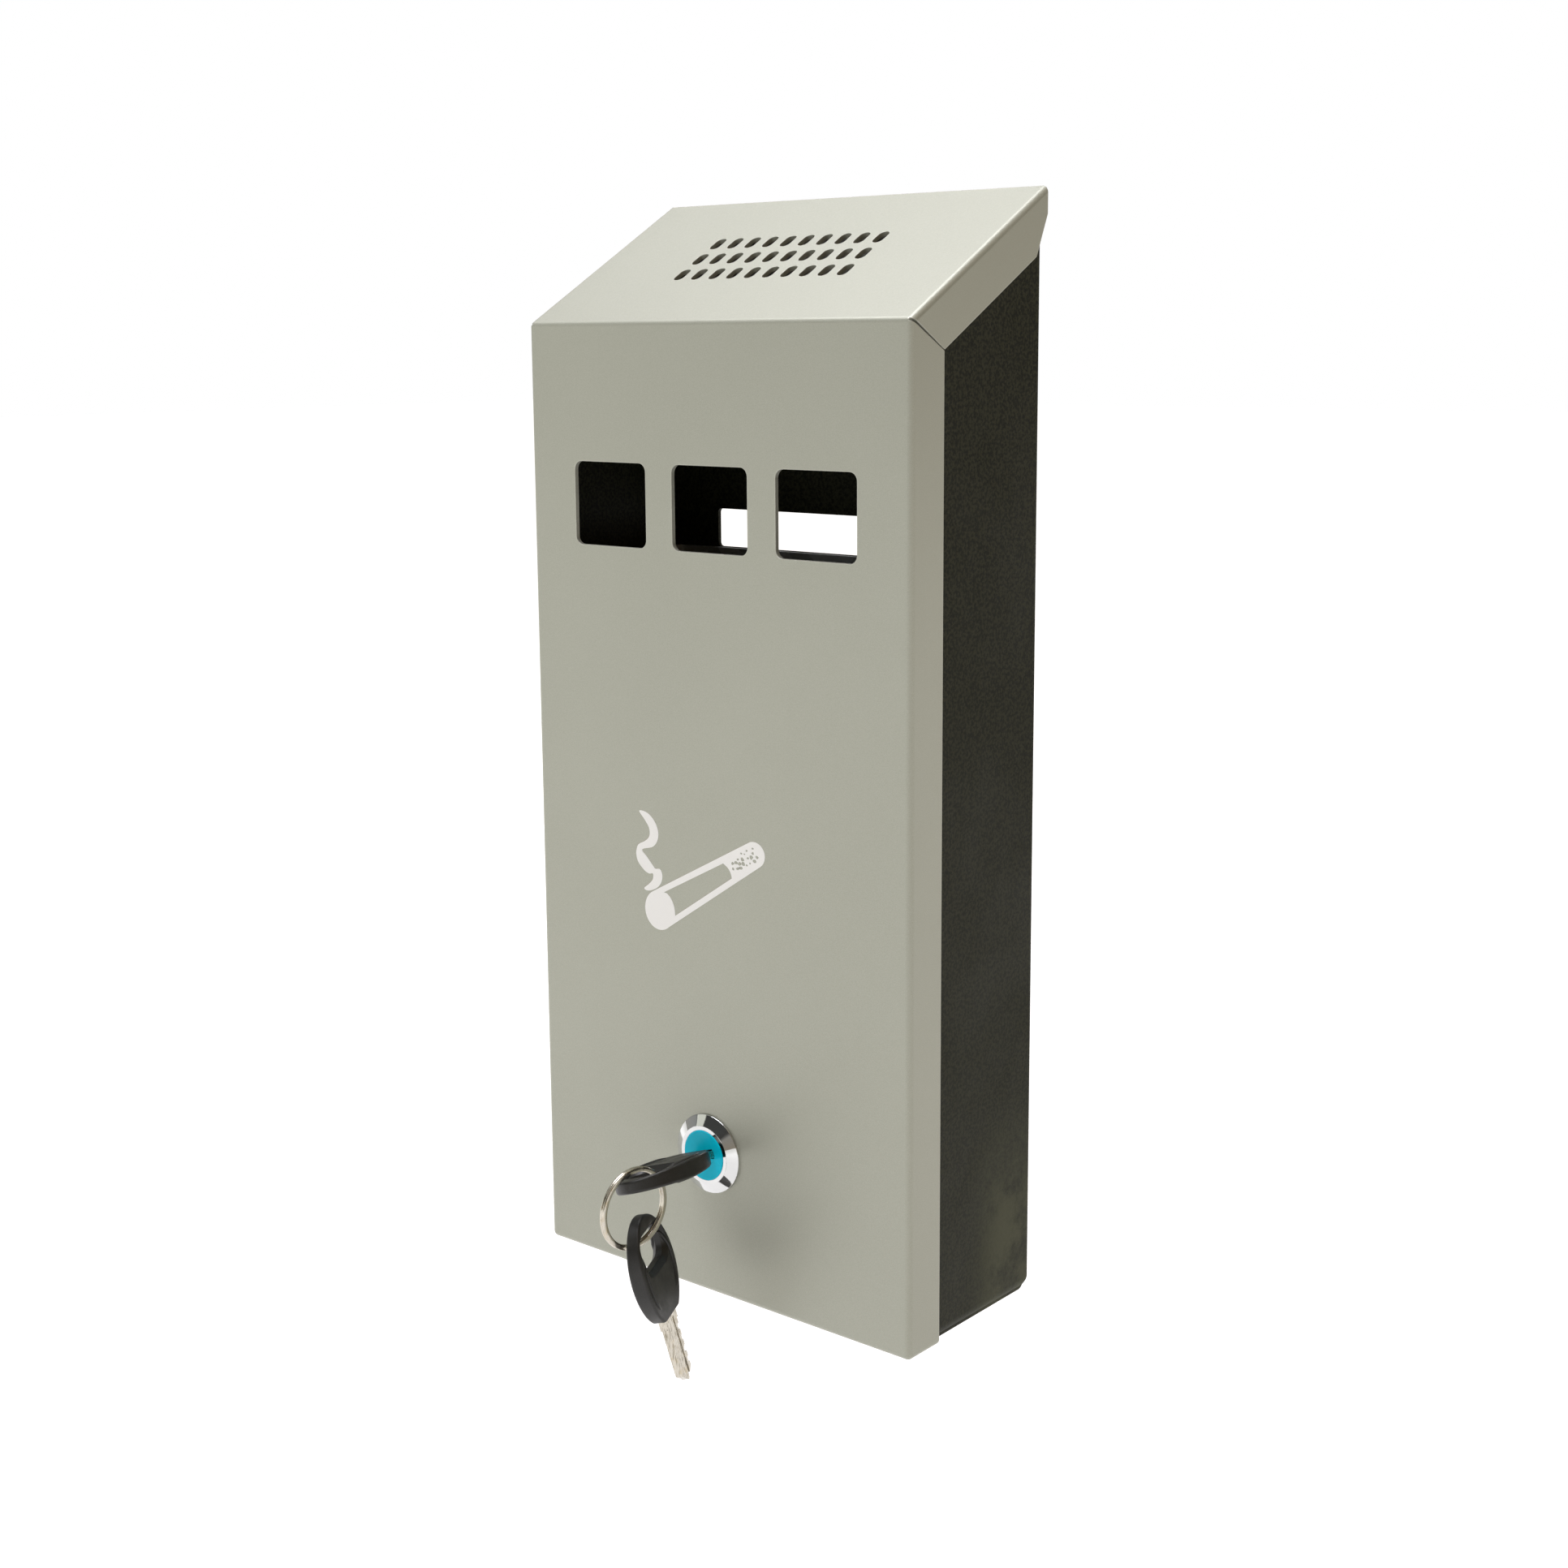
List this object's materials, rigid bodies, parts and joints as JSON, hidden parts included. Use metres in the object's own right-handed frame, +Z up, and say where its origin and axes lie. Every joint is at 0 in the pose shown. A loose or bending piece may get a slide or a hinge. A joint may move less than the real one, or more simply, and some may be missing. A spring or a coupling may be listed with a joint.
{
  "type": "ashtray bin",
  "caption": "Wall-mounted cigarette ash bin of folded sheet steel: hinged silver cover with drop windows, vented sloping top, black body, cam lock with keys, lift-out container.",
  "frame": {"origin": "centre of the four wall-screw holes, on the wall plane", "axes": "+X to the right seen from the front, +Y into the wall, +Z up; the front faces -Y"},
  "size_m": [0.13, 0.1026, 0.3121],
  "materials": {
    "silver_paint": "satin silver-grey powder coat",
    "black_paint": "fine-textured black powder coat",
    "galvanised": "dull galvanised sheet",
    "zinc_steel": "zinc-plated steel",
    "chrome": "polished",
    "plug_metal": "die-cast zinc",
    "teal_plastic": "glossy teal",
    "black_plastic": "moulded black",
    "nickel": "nickel plate",
    "white_print": "white screen print"
  },
  "bodies": {
    "body": {"back_body": "black_paint", "bottom_panel": "black_paint", "strike_bracket": "zinc_steel", "strike_rivets": "zinc_steel", "body_hinge_leaf": "zinc_steel", "body_hinge_rivets": "zinc_steel", "hinge_pin": "zinc_steel"},
    "cover": {"front_cover": "silver_paint", "cover_hinge_leaf": "zinc_steel", "lock_housing": "chrome", "lock_washer": "zinc_steel", "lock_nut": "zinc_steel"},
    "bucket": {"inner_bucket": "galvanised"},
    "plug": {"lock_plug": "plug_metal", "lock_face_insert": "teal_plastic", "cam": "zinc_steel", "cam_washer": "zinc_steel", "cam_screw": "zinc_steel"},
    "key": {"key_blade": "nickel", "key_bow": "black_plastic"},
    "ring": {"split_ring": "nickel"},
    "spare_key": {"spare_key_blade": "nickel", "spare_key_bow": "black_plastic"}
  },
  "joints": [
    {"name": "cover_hinge", "type": "hinge", "parent": "body", "child": "cover", "pos_m": [0, -0.0065, 0.14054], "axis": [-1, 0, 0], "range_deg": [0, 100]},
    {"name": "bucket_lift", "type": "slide", "parent": "body", "child": "bucket", "axis": [0, 0, 1], "range_m": [0, 0.05]},
    {"name": "lock_turn", "type": "hinge", "parent": "cover", "child": "plug", "pos_m": [-0.0028, -0.0615, -0.1098], "axis": [0, -1, 0], "range_deg": [-20, 70]},
    {"name": "key_pull", "type": "slide", "parent": "plug", "child": "key", "axis": [0, -1, 0], "range_m": [0, 0.025]},
    {"name": "ring_swing", "type": "hinge", "parent": "key", "child": "ring", "pos_m": [-0.0028, -0.0929, -0.1098], "axis": [0.9962, -0.0872, 0], "range_deg": [-10, 2]},
    {"name": "spare_key_swing", "type": "hinge", "parent": "ring", "child": "spare_key", "pos_m": [-0.00249, -0.08797, -0.12583], "axis": [0.0819, 0.9361, 0.342], "range_deg": [-6, 3]}
  ]
}
